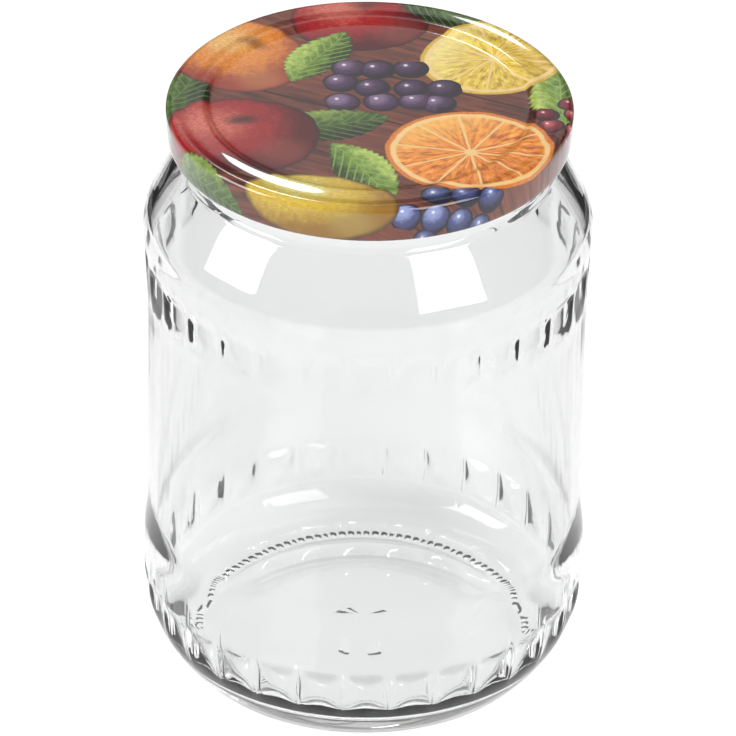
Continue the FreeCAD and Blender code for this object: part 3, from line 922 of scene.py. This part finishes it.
def makePrint():
    lacquer = printedLacquer
    kinds = {"fruit": roundFruitGroup(), "berries": berryGroup(), "leaf": leafGroup(),
             "citrus": citrusGroup()}
    material, nodes = newMaterial("printedLacquer")
    place = nodes.add("ShaderNodeTexCoord").outputs["Object"]
    turned = nodes.add("ShaderNodeMapping", {"Vector": place,
                                             "Rotation": (0, 0, -math.radians(view["turn"]))}).outputs[0]
    sheet = useGroup(nodes, sheetGroup(), Place=turned, Top=lidHigh.z * mm)["Sheet"]
    color = useGroup(nodes, woodGroup(), Sheet=sheet, Light=lacquer["boardLight"],
                     Shade=lacquer["boardShade"])["Color"]
    for kind, paint, middle, half, turn, extra in motifs:
        light, body, shade = paints[paint]
        made = useGroup(nodes, kinds[kind], Sheet=sheet, Middle=(*middle, 0), Half=(*half, 1),
                        Turn=(0, 0, math.radians(turn)), Light=light, Body=body, Shade=shade, **extra)
        color = nodes.blend(made["Mask"], color, made["Color"])
    peel = nodes.noise(place, lacquer["peelScale"], 2.0)
    bump = nodes.add("ShaderNodeBump", {"Height": peel, "Strength": lacquer["peel"],
                                        "Distance": 0.0005})
    body = nodes.add("ShaderNodeBsdfPrincipled", {
        "Base Color": color, "Roughness": lacquer["roughness"],
        "Specular IOR Level": lacquer["specular"], "Coat Weight": 1.0,
        "Coat Roughness": lacquer["coatRoughness"], "Normal": bump.outputs["Normal"]})
    nodes.add("ShaderNodeOutputMaterial", {"Surface": body.outputs[0]})
    return material


clearGlass = {"color": (0.89, 0.893, 0.893, 1), "ior": 1.5, "ripple": 0.02, "rippleScale": 90.0,
              "clear": (0.94, 0.94, 0.94, 1), "edge": (0.5, 0.51, 0.52, 1), "grazing": 0.35}


def makeGlass():
    glass = clearGlass
    material, nodes = newMaterial("clearGlass")
    place = nodes.add("ShaderNodeTexCoord").outputs["Object"]
    bump = nodes.add("ShaderNodeBump", {"Height": nodes.noise(place, glass["rippleScale"], 1.0),
                                        "Strength": glass["ripple"], "Distance": 0.001})
    body = nodes.add("ShaderNodeBsdfPrincipled", {
        "Base Color": glass["color"], "Roughness": 0.0, "IOR": glass["ior"],
        "Transmission Weight": 1.0, "Normal": bump.outputs["Normal"]})
    # light passes the walls, least where it grazes them
    grazing = nodes.add("ShaderNodeLayerWeight", {"Blend": glass["grazing"]}).outputs["Facing"]
    clear = nodes.add("ShaderNodeBsdfTransparent",
                      {"Color": nodes.blend(grazing, glass["clear"], glass["edge"])})
    path = nodes.add("ShaderNodeLightPath")
    mixed = nodes.add("ShaderNodeMixShader", {0: path.outputs["Is Shadow Ray"],
                                              1: body.outputs[0], 2: clear.outputs[0]})
    nodes.add("ShaderNodeOutputMaterial", {"Surface": mixed.outputs[0]})
    return material


innerLacquer = {"deep": (0.72, 0.69, 0.6, 1), "pale": (0.8, 0.78, 0.7, 1), "patchScale": 120.0,
                "roughness": 0.3}


def makeInnerLacquer():
    # plain pale lacquer, a little uneven where it was rolled on
    material, nodes = newMaterial("innerLacquer")
    place = nodes.add("ShaderNodeTexCoord").outputs["Object"]
    patch = nodes.noise(place, innerLacquer["patchScale"], 3.0)
    color = nodes.blend(patch, innerLacquer["deep"], innerLacquer["pale"])
    body = nodes.add("ShaderNodeBsdfPrincipled", {"Base Color": color,
                                                  "Roughness": innerLacquer["roughness"]})
    nodes.add("ShaderNodeOutputMaterial", {"Surface": body.outputs[0]})
    return material


creamRubber = {"deep": (0.62, 0.59, 0.52, 1), "pale": (0.74, 0.71, 0.64, 1), "mottleScale": 260.0,
               "bump": 0.15, "roughness": 0.5}


def makeRubber():
    material, nodes = newMaterial("creamRubber")
    place = nodes.add("ShaderNodeTexCoord").outputs["Object"]
    mottle = nodes.noise(place, creamRubber["mottleScale"], 4.0)
    color = nodes.blend(nodes.step(mottle, 0.3, 0.7), creamRubber["deep"], creamRubber["pale"])
    bump = nodes.add("ShaderNodeBump", {"Height": mottle, "Strength": creamRubber["bump"],
                                        "Distance": 0.0003})
    body = nodes.add("ShaderNodeBsdfPrincipled", {
        "Base Color": color, "Roughness": creamRubber["roughness"], "Normal": bump.outputs["Normal"]})
    nodes.add("ShaderNodeOutputMaterial", {"Surface": body.outputs[0]})
    return material


view = {"elevation": 32.75, "turn": 4.6, "distance": 1.8845, "aim": 0.064, "lens": 432.3,
        "roll": 0.84, "shiftX": 0.0030, "shiftY": 0.0213}

studio = {"floorReach": 3.0, "floorDrop": 0.0002, "floorColor": (0.75, 0.75, 0.75, 1),
          "floorGlow": 0.1, "backdropGlow": 0.34, "cardDistance": 1.2, "cardHeart": (0, 0, 0.12)}

# softboxes as seen from the jar: azimuth from the camera's side to the right, and elevation, in degrees
softboxes = {
    "leftSoftbox": {"corners": ((-88, 7.5), (-58.5, 14.5), (-57, 42), (-90, 34)), "glow": 9.0},
    "rightSoftbox": {"corners": ((26.5, 18.5), (61, 13.0), (60, 45), (26, 52)), "glow": 7.0},
    "backSoftbox": {"corners": ((-177, 38.5), (-169, 38.5), (-168, 47), (-176, 47)), "glow": 16.0},
}


def direction(azimuth, elevation):
    turn, rise = math.radians(azimuth + view["turn"]), math.radians(elevation)
    return Vector((math.sin(turn) * math.cos(rise), -math.cos(turn) * math.cos(rise), math.sin(rise)))


def hideCard(card):
    # it is there for the glass and the lid alone
    card.visible_camera = False
    card.visible_shadow = False


def makeSoftbox(name, corners, glow):
    # a glowing card whose corners stand where they are seen from the jar
    deselectAll()
    bpy.ops.mesh.primitive_plane_add(size=1)
    card = bpy.context.object
    card.name = name
    order = ((-1, -1), (1, -1), (1, 1), (-1, 1))
    for vertex in card.data.vertices:
        seat = order.index((round(vertex.co.x * 2), round(vertex.co.y * 2)))
        vertex.co = Vector(studio["cardHeart"]) + direction(*corners[seat]) * studio["cardDistance"]
    material, nodes = newMaterial(name + "Glow")
    lamp = nodes.add("ShaderNodeEmission", {"Color": (1, 1, 1, 1), "Strength": glow})
    nodes.add("ShaderNodeOutputMaterial", {"Surface": lamp.outputs[0]})
    card.data.materials.append(material)
    hideCard(card)


# dark cards on the floor behind the jar; near and far are degrees from straight behind
flags = {"sides": {"leftFlag": -1, "rightFlag": 1}, "near": 1.5, "far": 50.0, "distance": 0.34,
         "height": 0.12, "color": (0.03, 0.03, 0.03, 1)}


def makeFlag(name, side):
    # off to one side, it draws the glass's edges
    deselectAll()
    bpy.ops.mesh.primitive_plane_add(size=1)
    card = bpy.context.object
    card.name = name
    for vertex in card.data.vertices:
        azimuth = 180 - side * (flags["near"] if vertex.co.x < 0 else flags["far"])
        place = direction(azimuth, 0) * flags["distance"]
        vertex.co = (place.x, place.y, 0.0 if vertex.co.y < 0 else flags["height"])
    material, nodes = newMaterial(name + "Felt")
    felt = nodes.add("ShaderNodeBsdfDiffuse", {"Color": flags["color"]})
    nodes.add("ShaderNodeOutputMaterial", {"Surface": felt.outputs[0]})
    card.data.materials.append(material)
    card.visible_diffuse = False
    hideCard(card)


def makeFloor():
    deselectAll()
    bpy.ops.mesh.primitive_plane_add(size=2 * studio["floorReach"], location=(0, 0, -studio["floorDrop"]))
    floor = bpy.context.object
    floor.name = "floor"
    material, nodes = newMaterial("studioFloor")
    diffuse = nodes.add("ShaderNodeBsdfDiffuse", {"Color": studio["floorColor"]})
    path = nodes.add("ShaderNodeLightPath").outputs
    seen = nodes.number("MAXIMUM", path["Is Camera Ray"], nodes.number(
        "MAXIMUM", path["Is Glossy Ray"], path["Is Transmission Ray"]))
    shade = nodes.add("ShaderNodeMapRange", {"Value": seen, "To Min": studio["floorGlow"],
                                             "To Max": studio["backdropGlow"]})
    glow = nodes.add("ShaderNodeEmission", {"Color": (1, 1, 1, 1), "Strength": shade.outputs[0]})
    both = nodes.add("ShaderNodeAddShader", {0: diffuse.outputs[0], 1: glow.outputs[0]})
    nodes.add("ShaderNodeOutputMaterial", {"Surface": both.outputs[0]})
    floor.data.materials.append(material)


# white low down, a dark band above it, then a grey ceiling with a paler card behind;
# spans run from 0, level, to 1, straight up, and cardSide to 1, straight behind
sky = {"low": (1, 1, 1, 1), "band": (0.07, 0.07, 0.072, 1), "bandSpan": (0.0, 0.06),
       "ceiling": (0.3, 0.3, 0.3, 1), "ceilingSpan": (0.45, 0.9), "card": (0.6, 0.6, 0.6, 1),
       "cardFoot": (0.4, 0.5), "cardTop": (0.8, 0.66), "cardSide": (0.3, 0.7)}


def makeWorld():
    world = bpy.data.worlds.new("studioWorld")
    bpy.context.scene.world = world
    world.use_nodes = True
    nodes = Shader(world.node_tree)
    way = nodes.add("ShaderNodeTexCoord").outputs["Generated"]
    turn = math.radians(view["turn"])
    behind = (-math.sin(turn), math.cos(turn), 0)
    up = nodes.split(way)[2]
    back = nodes.step(nodes.vector("DOT_PRODUCT", way, behind), *sky["cardSide"])
    card = nodes.number("MULTIPLY", nodes.step(up, *sky["cardFoot"]), nodes.step(up, *sky["cardTop"]))
    card = nodes.number("MULTIPLY", card, back)
    color = nodes.blend(nodes.step(up, *sky["bandSpan"]), sky["low"], sky["band"])
    color = nodes.blend(nodes.step(up, *sky["ceilingSpan"]), color, sky["ceiling"])
    color = nodes.blend(card, color, sky["card"])
    background = nodes.add("ShaderNodeBackground", {"Color": color, "Strength": 1.0})
    nodes.add("ShaderNodeOutputWorld", {"Surface": background.outputs[0]})


topLamp = {"azimuth": -20, "elevation": 70, "power": 5, "size": 1.2, "distance": 1.4}


def makeLamp(name, azimuth, elevation, power, size, distance):
    lamp = bpy.data.objects.new(name, bpy.data.lights.new(name, "AREA"))
    bpy.context.collection.objects.link(lamp)
    away = direction(azimuth, elevation)
    aim = away.to_track_quat("Z", "Y").to_matrix().to_4x4()
    lamp.matrix_world = Matrix.Translation(away * distance) @ aim
    lamp.data.energy = power
    lamp.data.size = size
    lamp.visible_camera = False
    lamp.visible_glossy = False
    lamp.visible_transmission = False


def makeCamera():
    camera = bpy.data.objects.new("camera", bpy.data.cameras.new("camera"))
    bpy.context.collection.objects.link(camera)
    away = direction(0, view["elevation"])
    place = Matrix.Translation(Vector((0, 0, view["aim"])) + away * view["distance"])
    aim = away.to_track_quat("Z", "Y").to_matrix().to_4x4()
    camera.matrix_world = place @ aim @ Matrix.Rotation(math.radians(view["roll"]), 4, "Z")
    camera.data.lens = view["lens"]
    camera.data.sensor_width = 36
    camera.data.shift_x, camera.data.shift_y = view["shiftX"], view["shiftY"]
    camera.data.clip_start, camera.data.clip_end = 0.1, 50
    bpy.context.scene.camera = camera


print("stage: materials")
jarPiece.data.materials.append(makeGlass())
lidPiece.data.materials.append(makePrint())
lidPiece.data.materials.append(makeInnerLacquer())
for face in lidPiece.data.polygons:
    face.material_index = int(isInside(face.center / mm, face.normal))
sealPiece.data.materials.append(makeRubber())

print("stage: floor, light and camera")
makeFloor()
makeWorld()
for name, box in softboxes.items():
    makeSoftbox(name, box["corners"], box["glow"])
for name, side in flags["sides"].items():
    makeFlag(name, side)
makeLamp("topLamp", **topLamp)
makeCamera()
bpy.context.scene.view_settings.view_transform = "Standard"
